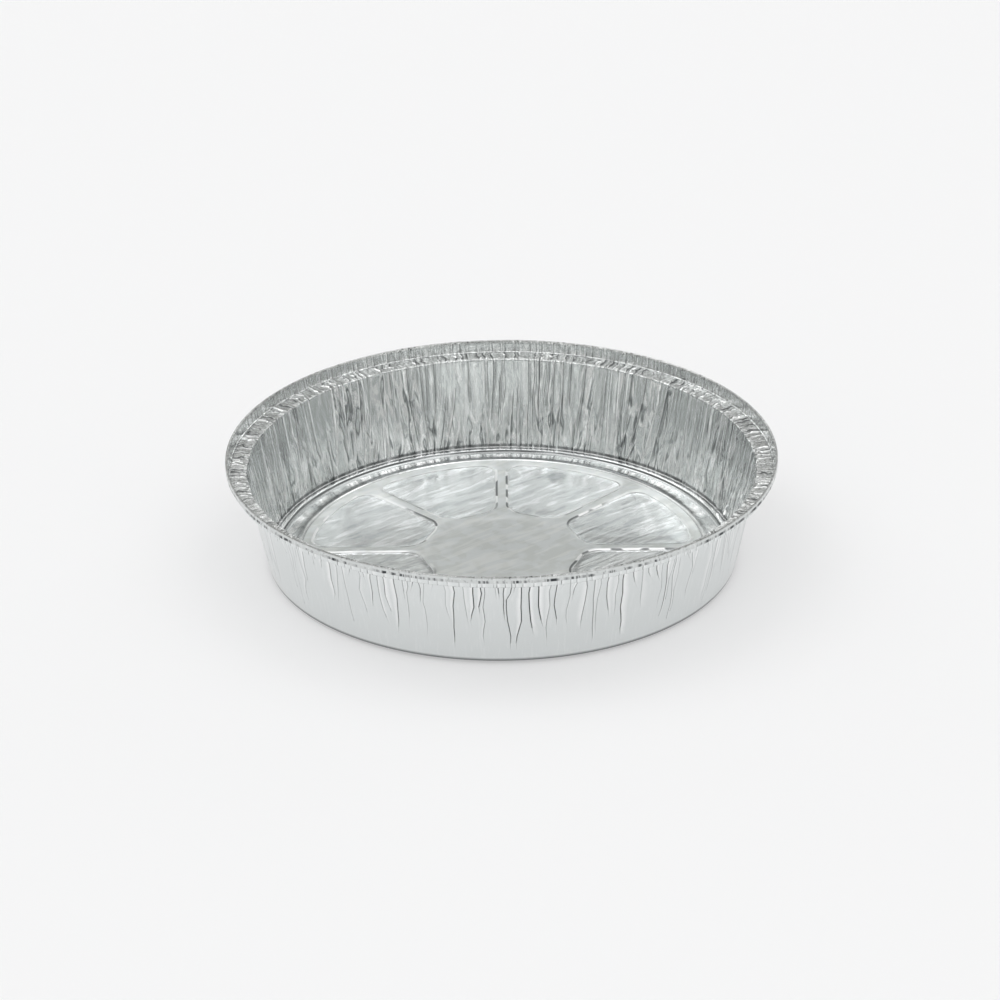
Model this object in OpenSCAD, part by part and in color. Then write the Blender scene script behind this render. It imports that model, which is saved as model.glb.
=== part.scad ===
// Round pie tin pressed from one sheet of foil, standing on its base ring.
// The foil is drawn into a tapered, pleated wall, turned out into a flange, turned up into a lip,
// and its raw edge is rolled over and pressed down outside the lip. The floor is stiffened by
// raised ribs: an outer band, a ring round the hub, and straight spokes with sunken panels between.
// The origin is the centre of the circle that the tin stands on.

/* [Foil] */
// Thickness of the foil sheet
foil_t = 0.1; // [0.08:0.01:0.2]

/* [Rim] */
// Outside diameter across the rim
rim_d = 228; // [190:1:280]
// Height of the upright lip above the flange
lip_h = 5.4; // [4.5:0.1:8]
// How far the lip leans outwards over its height
lip_flare = 0.8; // [0:0.1:1.5]
// Width of the flange between the wall and the lip
flange_w = 7; // [4:0.1:12]
// How far the flange falls from the lip to the wall
flange_fall = 0.5; // [0:0.1:1.5]
// Height of the edge that is folded down outside the lip
hem_h = 2.9; // [1.6:0.1:3.6]
// Diameter of the rolled edge at the top of the fold
edge_d = 0.9; // [0.7:0.05:1.3]

/* [Wall] */
// Height of the tin from the table to the top of the rim
pan_h = 46.7; // [30:0.1:65]
// Lean of the wall away from upright, in degrees
wall_lean = 10.8; // [4:0.1:18]

/* [Pleats] */
// Number of pleats round the wall
pleat_count = 120; // [90:1:150]
// Depth of the deepest pleat at the top of the wall
pleat_depth = 0.7; // [0.2:0.05:0.9]
// Depth of the wrinkles that the pleats leave on the flange
wrinkle_depth = 0.2; // [0:0.05:0.4]
// Unevenness of the pleats: 0 is regular, 1 is as crumpled as they can be
pleat_scatter = 0.8; // [0:0.05:1]
// Seed of the uneven pleats
pleat_seed = 7; // [1:1:99]

/* [Base] */
// Height of the ledge inside the foot of the wall
ledge_h = 1.5; // [1:0.1:2.5]
// Width of the ledge
ledge_w = 2.9; // [2:0.1:5]
// Width of the slope from the ledge down to the base ring
ledge_slope_w = 0.7; // [0.4:0.1:2]
// Width of the flat base ring that the tin stands on
base_ring_w = 4.6; // [3:0.1:8]
// Height of the floor above the underside of the base ring
floor_rise = 1.1; // [1:0.1:2]
// Width of the slope from the base ring up to the floor
floor_slope_w = 5; // [2:0.1:7]

/* [Floor ribs] */
// Number of spokes
spoke_count = 8; // [5:1:10]
// Width of a spoke at its top
spoke_w = 3; // [1:0.1:6]
// Width of the raised band round the panels at its top
band_w = 3.3; // [2:0.1:9]
// Radius of the sunken disc at the hub
hub_r = 27.5; // [20:0.1:32]
// Width of the ring round the hub at its top
hub_ring_w = 2.6; // [1.5:0.1:5]
// Depth of the hub disc below the ribs
hub_sink = 0.45; // [0.2:0.05:0.8]
// Depth of the panels below the ribs
panel_sink = 0.8; // [0.4:0.05:0.8]
// Width of the slope round each panel and round the hub disc
rib_slope_w = 2.8; // [1.5:0.1:4]
// Corner radius of a panel at the top of its slope
panel_corner_r = 8; // [5:0.1:10]

/* [Hidden] */
$fn = 180;
rim_r = rim_d / 2;
edge_r = edge_d / 2;
edge_steps = 14;
lip_top_r = rim_r - edge_d + edge_r / 2;
lip_foot_r = lip_top_r - lip_flare;
wall_top_r = lip_foot_r - flange_w;
wall_top_z = pan_h - lip_h - flange_fall;
wall_foot_r = wall_top_r - (wall_top_z - ledge_h) * tan(wall_lean);
// The wall ends half a thickness down in the ledge, which reaches just past it
wall_end_z = ledge_h - foil_t / 2;
ledge_r = wall_foot_r + 2 * foil_t;
fold_count = 2 * pleat_count;
ring_out_r = wall_foot_r - ledge_w - ledge_slope_w;
ring_in_r = ring_out_r - base_ring_w;
floor_r = ring_in_r - floor_slope_w;
panel_out_r = floor_r - band_w;
panel_in_r = hub_r + rib_slope_w + hub_ring_w;
// Slopes are carried on past the surface that they cut, so that the cut is clean
overcut = 0.5;
block_depth = 4;
corner_steps = 4;
arc_steps = 5;
half_turn = 180 / spoke_count;
// A panel's corners stop short of meeting each other beside the hub
corner_limit = (panel_in_r * sin(half_turn) - spoke_w / 2) / (1 - sin(half_turn));
corner_r = min(panel_corner_r, 0.9 * corner_limit);

// Path of the food side of the foil from the foot of the wall to the top of the lip,
// with the depth of the pleats at each point
wall_stops = [0.2, 0.6];
stop_depths = [0.4, 0.8];
wall_rows = concat(
  [[wall_foot_r, wall_end_z, 0]],
  [for (i = [0 : len(wall_stops) - 1])
    [wall_foot_r + (wall_top_r - wall_foot_r) * wall_stops[i],
     ledge_h + (wall_top_z - ledge_h) * wall_stops[i],
     pleat_depth * stop_depths[i]]],
  [[wall_top_r, wall_top_z, pleat_depth]],
  [[lip_foot_r, pan_h - lip_h, wrinkle_depth]],
  [[lip_top_r, pan_h - edge_r, 0]]
);

// Path of the food side of the base, from the hub's centre out to the ledge
base_path = [
  [0, floor_rise - hub_sink],
  [hub_r, floor_rise - hub_sink],
  [hub_r + rib_slope_w, floor_rise],
  [floor_r, floor_rise],
  [ring_in_r, foil_t],
  [ring_out_r, foil_t],
  [ring_out_r + ledge_slope_w, ledge_h],
  [ledge_r, ledge_h]
];

// Across the path of a sheet, to the right of the way it runs
function across(a, b) = let (d = b - a) [d[1], -d[0]] / norm(d);

// Step that takes a corner of a path to the same corner of the path one unit to its right
function corner_step(path, i) =
  let (
    last = len(path) - 1,
    before = across(path[max(i, 1) - 1], path[max(i, 1)]),
    after = across(path[min(i, last - 1)], path[min(i, last - 1) + 1])
  )
  (before + after) / (1 + before * after);

// The path moved sideways by a distance, with its corners kept sharp
function moved_path(path, distance) =
  [for (i = [0 : len(path) - 1]) path[i] + distance * corner_step(path, i)];

// Points along a circle from one angle to another
function arc(centre, r, from, to, steps) =
  [for (i = [0 : steps])
    let (a = from + (to - from) * i / steps)
    centre + r * [cos(a), sin(a)]];

// Centre of a panel's rounded corner beside the spoke along X, for a corner that touches
// the circle of the given reach round the hub
function corner_centre(reach, side) = [sqrt(reach * reach - side * side), side];

// Outline of the panel between the spoke along X and the next one, drawn in by a margin
function panel_outline(margin) =
  let (
    turn = 360 / spoke_count,
    side = spoke_w / 2 + corner_r,
    round_r = corner_r - margin,
    outer = corner_centre(panel_out_r - corner_r, side),
    inner = corner_centre(panel_in_r + corner_r, side),
    outer_a = atan2(outer[1], outer[0]),
    inner_a = atan2(inner[1], inner[0]),
    half = concat(
      arc(inner, round_r, 180 + inner_a, 270, corner_steps),
      arc(outer, round_r, -90, outer_a, corner_steps)
    ),
    across_half = [for (i = [len(half) - 1 : -1 : 0])
      [cos(turn) * half[i][0] + sin(turn) * half[i][1],
       sin(turn) * half[i][0] - cos(turn) * half[i][1]]],
    outer_arc = arc([0, 0], panel_out_r - margin, outer_a, turn - outer_a, arc_steps),
    inner_arc = arc([0, 0], panel_in_r + margin, turn - inner_a, inner_a, arc_steps)
  )
  concat(
    half,
    [for (i = [1 : arc_steps - 1]) outer_arc[i]],
    across_half,
    [for (i = [1 : arc_steps - 1]) inner_arc[i]]
  );

// Tapered pocket that sinks one panel below the ribs. Its ends are closed round a middle point.
module panel_pocket(drop) {
  slope = rib_slope_w / panel_sink;
  top_z = floor_rise - drop + overcut;
  bottom_z = floor_rise - drop - panel_sink;
  top = [for (p = panel_outline(-overcut * slope)) [p[0], p[1], top_z]];
  bottom = [for (p = panel_outline(rib_slope_w)) [p[0], p[1], bottom_z]];
  middle = (panel_in_r + panel_out_r) / 2 * [cos(half_turn), sin(half_turn)];
  n = len(top);
  polyhedron(
    points = concat(top, bottom, [[middle[0], middle[1], top_z], [middle[0], middle[1], bottom_z]]),
    faces = [for (i = [0 : n - 1])
      let (next = (i + 1) % n)
      for (face = [[2 * n, next, i], [i, next, n + next, n + i], [n + i, n + next, 2 * n + 1]])
        face]
  );
}

// Solid under one side of the base: the ribs' level and the base ring, less the panels
module base_block(path, drop) {
  edge = path[len(path) - 1];
  difference() {
    rotate_extrude()
      polygon(concat([[0, -block_depth]], path, [[edge[0], -block_depth]]));
    for (i = [0 : spoke_count - 1])
      rotate([0, 0, i * 360 / spoke_count])
        panel_pocket(drop);
  }
}

// Floor, base ring and ledge: what lies between the food side and the underside
module base_sheet() {
  under = moved_path(base_path, foil_t);
  difference() {
    base_block(base_path, 0);
    base_block(concat(under, [[ledge_r + overcut, ledge_h - foil_t]]), foil_t);
  }
}

// Pleated wall, wrinkled flange and lip, as rings of points round the path of the sheet.
// Every second fold is pushed out, by a depth that is uneven round the wall.
module pleated_wall() {
  rows = len(wall_rows);
  path = [for (row = wall_rows) [row[0], row[1]]];
  steps = [for (i = [0 : rows - 1]) corner_step(path, i)];
  slips = [for (i = [0 : rows - 1]) rands(-0.4, 0.4, fold_count, pleat_seed + i)];
  slacks = rands(0, 0.7, fold_count, pleat_seed + rows);
  push = [for (i = [0 : rows - 1])
    [for (j = [0 : fold_count - 1])
      wall_rows[i][2] * (j % 2) * (1 - pleat_scatter * slacks[j])]];
  turns = [for (i = [0 : rows - 1])
    [for (j = [0 : fold_count - 1])
      360 * (j + (wall_rows[i][2] > 0 ? pleat_scatter * slips[i][j] : 0)) / fold_count]];
  food_side = [for (i = [0 : rows - 1]) for (j = [0 : fold_count - 1])
    let (p = path[i] + steps[i] * push[i][j])
    [p[0] * cos(turns[i][j]), p[0] * sin(turns[i][j]), p[1]]];
  outer_side = [for (i = [rows - 1 : -1 : 0]) for (j = [0 : fold_count - 1])
    let (p = path[i] + steps[i] * (push[i][j] + foil_t))
    [p[0] * cos(turns[i][j]), p[0] * sin(turns[i][j]), p[1]]];
  rings = 2 * rows;
  polyhedron(
    points = concat(food_side, outer_side),
    faces = [for (k = [0 : rings - 1]) for (j = [0 : fold_count - 1])
      let (
        near = k * fold_count,
        far = (k + 1) % rings * fold_count,
        next = (j + 1) % fold_count
      )
      for (face = [[near + j, near + next, far + next], [near + j, far + next, far + j]])
        face],
    convexity = 10
  );
}

// Raw edge, rolled over outside the lip and pressed down beside it
module rolled_hem() {
  leaf_a = acos((edge_r - foil_t) / edge_r);
  rotate_extrude()
    polygon(concat(
      [[rim_r, pan_h - hem_h]],
      arc([rim_r - edge_r, pan_h - edge_r], edge_r, 0, 360 - leaf_a, edge_steps),
      [[rim_r - foil_t, pan_h - hem_h]]
    ));
}

module pan() {
  color("silver")
    union() {
      base_sheet();
      pleated_wall();
      rolled_hem();
    }
}

pan();
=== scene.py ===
# %% [markdown]
# # A pressed foil pie tin
#
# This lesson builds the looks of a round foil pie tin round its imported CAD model. The real tin is
# a single disc of thin aluminium foil, pressed in one stroke. The metal at the edge of the disc has
# to fit into a smaller circle, so the wall gathers into pleats, and the floor, which isn't gathered,
# stays smooth and is stiffened by ribs. Everything here is in metres, in the frame of the CAD
# model: the origin is the centre of the circle that the tin stands on, and +Z is up.

# %% Load the frame
import math

import bpy
import numpy as np
from mathutils import Matrix, Vector


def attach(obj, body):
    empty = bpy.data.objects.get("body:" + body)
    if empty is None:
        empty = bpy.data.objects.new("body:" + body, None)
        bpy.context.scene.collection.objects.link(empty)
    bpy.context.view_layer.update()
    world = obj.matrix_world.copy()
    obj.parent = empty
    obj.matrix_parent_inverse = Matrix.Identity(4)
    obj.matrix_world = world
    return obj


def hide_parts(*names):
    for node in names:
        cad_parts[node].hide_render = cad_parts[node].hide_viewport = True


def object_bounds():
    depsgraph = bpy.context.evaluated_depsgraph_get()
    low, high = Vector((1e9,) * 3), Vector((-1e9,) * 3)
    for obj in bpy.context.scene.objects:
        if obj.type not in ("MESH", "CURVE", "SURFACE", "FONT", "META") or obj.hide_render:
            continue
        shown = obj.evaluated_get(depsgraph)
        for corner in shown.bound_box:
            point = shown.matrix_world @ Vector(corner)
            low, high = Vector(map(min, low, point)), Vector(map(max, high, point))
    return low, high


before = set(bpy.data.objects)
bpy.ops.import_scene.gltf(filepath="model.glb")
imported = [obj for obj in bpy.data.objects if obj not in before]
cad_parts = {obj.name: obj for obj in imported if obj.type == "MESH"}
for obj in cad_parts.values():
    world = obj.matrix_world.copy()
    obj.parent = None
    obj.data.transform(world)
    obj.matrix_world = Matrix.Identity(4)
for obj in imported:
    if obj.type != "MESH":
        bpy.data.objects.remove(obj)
cad_low, cad_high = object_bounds()
MM = 0.001
print("CAD box in mm:", [round(v / MM, 1) for v in (*cad_low, *cad_high)])

# %% [markdown]
# The tin's section is one line, followed from the middle of the floor out to the raw edge of the
# foil. It could be drawn as a curve object and spun, but the pleats have to change the line from
# one angle to the next. So the line is kept as plain numbers here, and each place on it gets its
# own ring of points. The rim's radius and the height come from the CAD model.

# %% Sizes of the section
rim_r = cad_high.x
pan_h = cad_high.z
# The sheet is a little thicker than the CAD's, so that its two faces never touch
foil_t = 0.12 * MM
edge_r = 0.45 * MM
hem_h = 2.9 * MM
lip_h = 5.4 * MM
lip_flare = 0.8 * MM
flange_w = 7.0 * MM
flange_fall = 0.3 * MM
wall_lean = math.radians(10.8)
ledge_h = 1.5 * MM
ledge_w = 2.9 * MM
ledge_slope_w = 0.7 * MM
base_ring_w = 4.6 * MM
floor_slope_w = 5.0 * MM
floor_rise = 1.1 * MM

lip_top_r = rim_r - 1.5 * edge_r
lip_foot_r = lip_top_r - lip_flare
wall_top_r = lip_foot_r - flange_w
flange_z = pan_h - lip_h
wall_top_z = flange_z - flange_fall
wall_foot_r = wall_top_r - (wall_top_z - ledge_h) * math.tan(wall_lean)
ledge_in_r = wall_foot_r - ledge_w
ring_out_r = ledge_in_r - ledge_slope_w
ring_in_r = ring_out_r - base_ring_w
floor_r = ring_in_r - floor_slope_w
print("wall foot, base ring and floor radius in mm:",
      [round(v / MM, 1) for v in (wall_foot_r, ring_in_r, floor_r)])

# %% [markdown]
# The floor's ribs are a raised band at its edge, eight straight spokes and a ring round the hub.
# The panels between them are sunk, with rounded corners. A cutter could be made for each panel,
# but the foil is a sheet that bends, with no sharp edge on the floor. So the floor is a height
# that depends on how far a point lies inside its panel, with a soft slope at the panel's edge.

# %% Height of the floor
spoke_count = 8
spoke_w = 3.0 * MM
band_w = 3.3 * MM
hub_r = 27.5 * MM
hub_ring_w = 2.6 * MM
hub_sink = 0.45 * MM
panel_sink = 0.75 * MM
panel_crown = 0.35 * MM
crown_w = 16.0 * MM
rib_slope_w = 2.2 * MM
panel_corner_r = 8.5 * MM
panel_in_r = hub_r + rib_slope_w + hub_ring_w
panel_out_r = floor_r - band_w
uneven_rng_seed, uneven_waves, uneven_length, uneven_d = 11, 14, 11 * MM, 0.022 * MM


def smooth(x, low, high):
    """0 below low, 1 above high, and a soft S between them."""
    t = np.clip((x - low) / (high - low), 0.0, 1.0)
    return t * t * (3.0 - 2.0 * t)


def inside_panel(r, angle):
    """How far a point lies inside the rounded edge of its panel."""
    turn = 2.0 * math.pi / spoke_count
    off_spoke = (angle + turn / 2) % turn - turn / 2
    beside = r * np.abs(np.sin(off_spoke)) - spoke_w / 2
    between = np.minimum(r - panel_in_r, panel_out_r - r)
    corner = np.hypot(np.maximum(panel_corner_r - beside, 0.0),
                      np.maximum(panel_corner_r - between, 0.0))
    return panel_corner_r - corner


def waves(rng, x, y, count, length, depth):
    """Soft unevenness: a sum of straight waves in seeded random directions."""
    total = np.zeros_like(x)
    for _ in range(count):
        heading, phase = rng.uniform(0, 2 * math.pi), rng.uniform(0, 2 * math.pi)
        size = rng.uniform(0.6, 1.6)
        along = x * math.cos(heading) + y * math.sin(heading)
        total += np.sin(2 * math.pi * along / (length * size) + phase)
    return total * depth / math.sqrt(count)


def floor_relief(r, angle):
    """Height of the floor's food side above the ribs' level, at most a little over 0."""
    inside = inside_panel(r, angle)
    panel = -panel_sink * smooth(inside, 0.0, rib_slope_w)
    crown = panel_crown * smooth(inside, rib_slope_w, crown_w)
    hub = -hub_sink * smooth(-r, -hub_r - rib_slope_w, -hub_r)
    x, y = r * np.cos(angle), r * np.sin(angle)
    uneven = waves(np.random.default_rng(uneven_rng_seed), x, y, uneven_waves, uneven_length, uneven_d)
    return panel + crown + hub + uneven * smooth(inside, 0.0, rib_slope_w)


print("panels:", spoke_count, "from", round(panel_in_r / MM, 1), "to", round(panel_out_r / MM, 1),
      "mm from the middle")


# %% [markdown]
# On the food side the wall is gathered into narrow ridges with nearly flat foil between them. A
# wave added to a smooth wall would look like cloth: foil creases, so its facets are flat and meet
# in sharp lines. So the columns of the mesh follow the ridges. Each ridge has five: the outer edge
# of its fold, the fold itself, the crest, the gentle foot, and the middle of the flat beyond. The
# distances between ridges are uneven and change down the wall, and ridges that come too close are
# moved apart, so none crosses another. Most ridges hang from the flange, and about two in five
# stand on the foot instead, as broad leaves. Each column also gets painted shade where the foil is
# folded shut, and a painted highlight on the crests and some flats.

# %% Helpers for values that change round the tin and down the wall
ridge_count = 226
leaf_share, deep_share, pleat_share = 0.42, 0.07, 0.66
ridge_rng = np.random.default_rng(23)


def blur(values, times):
    """Values round the tin, each mixed with its neighbours."""
    for _ in range(times):
        values = (np.roll(values, 1, -1) + 2 * values + np.roll(values, -1, -1)) / 4
    return values


def table_at(table, place):
    """Value of each column at its own place from 0 to 1 down a table of rows."""
    place = np.clip(place, 0.0, 1.0) * (len(table) - 1)
    low = np.minimum(place.astype(int), len(table) - 2)
    share = place - low
    here = np.arange(table.shape[1])
    return table[low, here] * (1 - share) + table[low + 1, here] * share


print("ridges on the food side:", ridge_count)

# %% Every ridge's own values
ridge_gap = ridge_rng.uniform(0.35, 1.65, ridge_count)
ridge_start = 2 * math.pi * np.cumsum(ridge_gap) / ridge_gap.sum()
sway = blur(ridge_rng.normal(0, 1, (5, ridge_count)), 1)
lean = 0.3 + 1.6 * blur(ridge_rng.normal(0, 1, ridge_count), 6) + 0.35 * ridge_rng.normal(0, 1, ridge_count)
lag = ridge_rng.uniform(-0.2, 0.2, ridge_count)
is_leaf = ridge_rng.uniform(0, 1, ridge_count) < leaf_share
# Share of the wall's height that a ridge covers, down from the flange or up from the foot
reach = np.where(is_leaf, ridge_rng.uniform(0.25, 0.75, ridge_count), ridge_rng.beta(2.4, 0.7, ridge_count))
tall = 0.3 + 0.7 * ridge_rng.uniform(0, 1, ridge_count) ** np.where(is_leaf, 0.6, 1.2)
steep_left = ridge_rng.uniform(0, 1, ridge_count) < 0.5
is_deep = (ridge_rng.uniform(0, 1, ridge_count) < deep_share) & ~is_leaf
steep_w = ridge_rng.uniform(0.25, 0.4, ridge_count) * MM
gentle_w = ridge_rng.uniform(0.45, 1.1, ridge_count) * MM
line_w = np.where(is_deep, 0.75, ridge_rng.uniform(0.3, 0.5, ridge_count)) * MM
uneven = ridge_rng.uniform(0.4, 1.0, (9, ridge_count))
flat_tilt = ridge_rng.uniform(-0.5, 1.0, (7, ridge_count))
flat_tone = ridge_rng.uniform(-0.6, 1.0, (5, ridge_count))
rim_noise = ridge_rng.uniform(-1.0, 1.0, (6, 5 * ridge_count))
# The five columns, from 0 to 4. A ridge that is steep on its left has its fold on the left too
crest_column = np.where(steep_left, 2, 1)
fold_column = np.where(steep_left, 1, 2)
gentle_column = np.where(steep_left, 3, 0)
outer_column = np.where(steep_left, 0, 3)
middle_column = 4
# Over half of the ridges run right across the flange, as the folds of an accordion
is_pleat = ridge_rng.uniform(0, 1, ridge_count) < pleat_share
ridge_h = 0.62 * MM
flat_h = 0.16 * MM
flat_lift = 0.22 * MM
fold_d = 0.12 * MM
sway_w = 0.6 * MM
lean_w = 3.8 * MM
least_ridge_gap = 0.8 * MM
print("leaves:", int(is_leaf.sum()), "deep folds:", int(is_deep.sum()), "folds over the flange:",
      int(is_pleat.sum()))

# %% Where the ridges are, and how far they stand out
def spread_out(angle, least):
    """Moves angles round the tin apart until none is much closer to the next than the least gap."""
    for _ in range(60):
        gap = np.roll(angle, -1) - angle
        gap[-1] += 2 * math.pi
        short = np.maximum(least - gap, 0.0) / 2
        angle = angle - short + np.roll(short, 1)
    gap = np.roll(angle, -1) - angle
    gap[-1] += 2 * math.pi
    return angle, gap


def ridge_angles(height):
    """Angles of the food side's columns at a height up the wall, from 0 at the foot to 1 at the flange."""
    radius = wall_foot_r + (wall_top_r - wall_foot_r) * height
    slide = sway_w * (0.35 + 0.65 * (1 - height)) * table_at(sway, height + lag)
    slide = slide + lean_w * lean * (1 - height) ** 2
    crest, gap = spread_out(ridge_start + slide / radius, least_ridge_gap / radius)
    room = np.minimum(gap, np.roll(gap, 1))
    broad = 1 + 1.6 * is_leaf * np.clip(1 - height / reach, 0, 1)
    steep = np.minimum(steep_w / radius, 0.14 * room)
    line = np.minimum(line_w / radius, 0.2 * room)
    gentle = np.minimum(gentle_w * broad / radius, 0.46 * room)
    start = np.where(steep_left, steep + line, gentle)
    end = np.where(steep_left, gentle, steep + line)
    middle = (crest + end + crest + gap - np.roll(start, -1)) / 2
    rows = [crest - start, crest - steep * steep_left, crest + steep * ~steep_left, crest + end, middle]
    return np.stack(rows, axis=1).ravel()


def standing(height):
    """Share of its full height that each ridge has there."""
    hanging = smooth(height - (1 - reach), -0.03, 0.12)
    leaf = smooth(reach - height, -0.02, 0.2) * (0.55 + 0.45 * smooth(height, -0.02, 0.05))
    foot = 0.6 + 0.4 * smooth(height, 0.0, 0.06)
    return tall * table_at(uneven, height + lag) * np.where(is_leaf, leaf, hanging * foot)


def on_column(values, column):
    """One value for each ridge, given to one of its five columns."""
    rows = np.zeros((ridge_count, 5))
    rows[np.arange(ridge_count), column] = values
    return rows.ravel()


def ridge_heights(height):
    """How far each column stands out towards the food at that height."""
    stand = standing(height)
    crests = on_column(ridge_h * stand * (1 + 0.35 * is_leaf), crest_column)
    folds = on_column(fold_d * np.clip(1.6 * stand, 0, 1), fold_column)
    return crests - folds + on_column(flat_h * table_at(flat_tilt, height + lag), middle_column) + flat_lift


print("highest ridge near the flange in mm:", round(float(ridge_heights(0.9).max()) / MM, 2))


# %% Painted shade in the folds, painted highlights on the crests
def painted_fold_shade(height):
    """Painted shade of the fold at the steep foot of each ridge."""
    stand = standing(height)
    deep = np.where(is_deep, 0.9, 0.5) * np.clip(2.0 * stand, 0, 1)
    # Rolled foil gathers more at two opposite sides than at the two between them
    at_side = 0.25 + 0.75 * np.cos(ridge_start) ** 2
    runs_on = 0.75 * is_pleat * at_side * smooth(height, 0.72 + 0.2 * np.abs(lag), 0.97)
    return (on_column(np.maximum(deep, runs_on), fold_column)
            + on_column(0.2 * np.clip(2 * stand, 0, 1), gentle_column)
            + on_column(np.maximum(0.45 * deep * is_deep, 0.4 * runs_on), outer_column))


def painted_crest_highlight(height):
    """Painted highlights on the crests, and a little on some flats."""
    crest_highlight = np.clip(3.0 * standing(height), 0, 1)
    flats = 0.6 * smooth(table_at(flat_tone, height + lag), 0.3, 0.8)
    return on_column(crest_highlight, crest_column) + on_column(flats, middle_column)


print("folds that are dark half-way up:", int((painted_fold_shade(0.5) > 0.4).sum()))

# %% [markdown]
# Outside, the die has ironed the foil between the tucks, so only the closed mouths of the tucks
# show, as thin creases. They start under the hem, run down for a tenth to nearly the whole of
# the wall, and bend aside where they end. Each crease gets four columns: the middle of the groove,
# its two edges, and one half-way over the smooth foil to the next crease. The middle of each groove
# gets painted shade, and one edge a painted highlight.

# %% Every crease's own values
crease_count = 216
short_share = 0.42
crease_rng = np.random.default_rng(41)
crease_gap = crease_rng.uniform(0.45, 1.6, crease_count)
crease_start = 2 * math.pi * np.cumsum(crease_gap) / crease_gap.sum()
is_short = crease_rng.uniform(0, 1, crease_count) < short_share
crease_length = np.where(is_short, crease_rng.uniform(0.1, 0.34, crease_count),
                         crease_rng.uniform(0.42, 0.92, crease_count))
crease_depth = crease_rng.uniform(0.35, 1.0, crease_count)
crease_side = crease_rng.choice([-1.0, 1.0], crease_count)
crease_bend = crease_rng.uniform(0.3, 2.6, crease_count) * crease_side * MM
crease_kink = 0.5 * MM * crease_rng.normal(0, 1, (7, crease_count))
bulge = crease_rng.uniform(0.0, 1.0, (5, crease_count))
groove_half = 0.27 * MM
groove_d = 0.34 * MM
wall_gap = 0.24 * MM
swell_h = 0.1 * MM
least_crease_gap = 1.1 * MM
print("creases outside:", crease_count, "of them short:", int(is_short.sum()))


# %% Where the creases are, and how far they are pressed in
def crease_angles(height):
    """Angles of the outside's columns at a height up the wall."""
    radius = wall_foot_r + (wall_top_r - wall_foot_r) * height
    down = (1 - height) / crease_length
    shift = crease_bend * np.clip(down, 0, 1.3) ** 3 + table_at(crease_kink, np.full(crease_count, height))
    angle = crease_start + shift / radius
    angle, gap = spread_out(angle, least_crease_gap / radius)
    near = groove_half / radius
    rows = [angle, angle + near, angle + gap * 0.5, angle + gap - near]
    return np.stack(rows, axis=1).ravel()


def crease_share(height):
    """Share of its full depth that each groove has at that height."""
    return crease_depth * smooth(height - (1 - crease_length), -0.02, 0.12)


def on_grooves(middle, after, before):
    """Values for the middle of each groove and for its two edges."""
    rows = np.zeros((crease_count, 4))
    rows[:, 0] = middle
    rows[:, 1] = after
    rows[:, 3] = np.roll(before, -1)
    return rows.ravel()


def crease_heights(height):
    """How far the outside is pressed in at each column. Less than 0 is out."""
    deep = crease_share(height)
    out = 0.35 * groove_d * deep
    swell = np.zeros((crease_count, 4))
    swell[:, 2] = swell_h * table_at(bulge, np.full(crease_count, height)) * smooth(height, 0.0, 0.3)
    return on_grooves(groove_d * deep, -out * (crease_side > 0), -out * (crease_side < 0)) - swell.ravel()


print("deepest groove in mm:", round(float(crease_heights(0.9).max()) / MM, 2))

# %% [markdown]
# Rings of points are now laid along the section, over the food side from the hub to the raw edge,
# and then back along the underside. A ring keeps its own angles, so a ring on the smooth floor can
# have few points and one on the wall many. The faces are made at the end by walking round each pair
# of rings. Every point also carries four masks for the material: one holds the painted shade of a
# shut fold or gap, one the painted highlight of a crest or edge, folded says how crumpled the foil
# is, and hem how near the rim.

# %% Rings of points
rings = []
# Two of the masks carry painted shade and painted highlights for the material
mask_names = ("painted_shade", "painted_highlight", "folded", "hem")


def lay_ring(r, z, angle, painted_shade=0.0, painted_highlight=0.0, folded=0.0, hem=0.0):
    """Adds a ring of points. r, z and the masks for the material are numbers or have one value a point."""
    n = len(angle)
    r, z, painted_shade, painted_highlight, folded, hem = (np.broadcast_to(np.asarray(v, float), n)
                                        for v in (r, z, painted_shade, painted_highlight, folded, hem))
    r = np.minimum(r, rim_r)
    xyz = np.stack([r * np.cos(angle), r * np.sin(angle), np.clip(z, 0.0, pan_h)], axis=1)
    rings.append(dict(zip(("angle", "xyz", *mask_names), (angle, xyz, painted_shade, painted_highlight, folded, hem))))


def even_angles(count):
    return 2 * math.pi * np.arange(count) / count


def steps_between(start, end, step):
    """Even steps from start up to, but not including, end."""
    return np.linspace(start, end, max(1, round((end - start) / step)), endpoint=False)


def wall_point(height):
    """Radius and height of the plain wall at a share of its height."""
    return (wall_foot_r + (wall_top_r - wall_foot_r) * height,
            ledge_h + (wall_top_z - ledge_h) * height)


def floor_z(r, angle):
    return floor_rise + floor_relief(np.full(len(angle), r), angle)


print("plain wall, radius and height at its foot and top in mm:",
      [round(v / MM, 1) for v in (*wall_point(0.0), *wall_point(1.0))])


# %% [markdown]
# The floor comes first. Between its ribs and the wall foot the section has three small bends: a fine
# groove at the floor's edge, the base ring that the tin stands on, and the ledge. Each bend catches
# one thin line of light, so it needs a few rings of its own, close together. The lines are thinner
# than the rings can bend, so the rings also carry painted shade and painted highlights for them,
# and broken bright dashes of painted reflection of the ridged wall.

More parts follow.
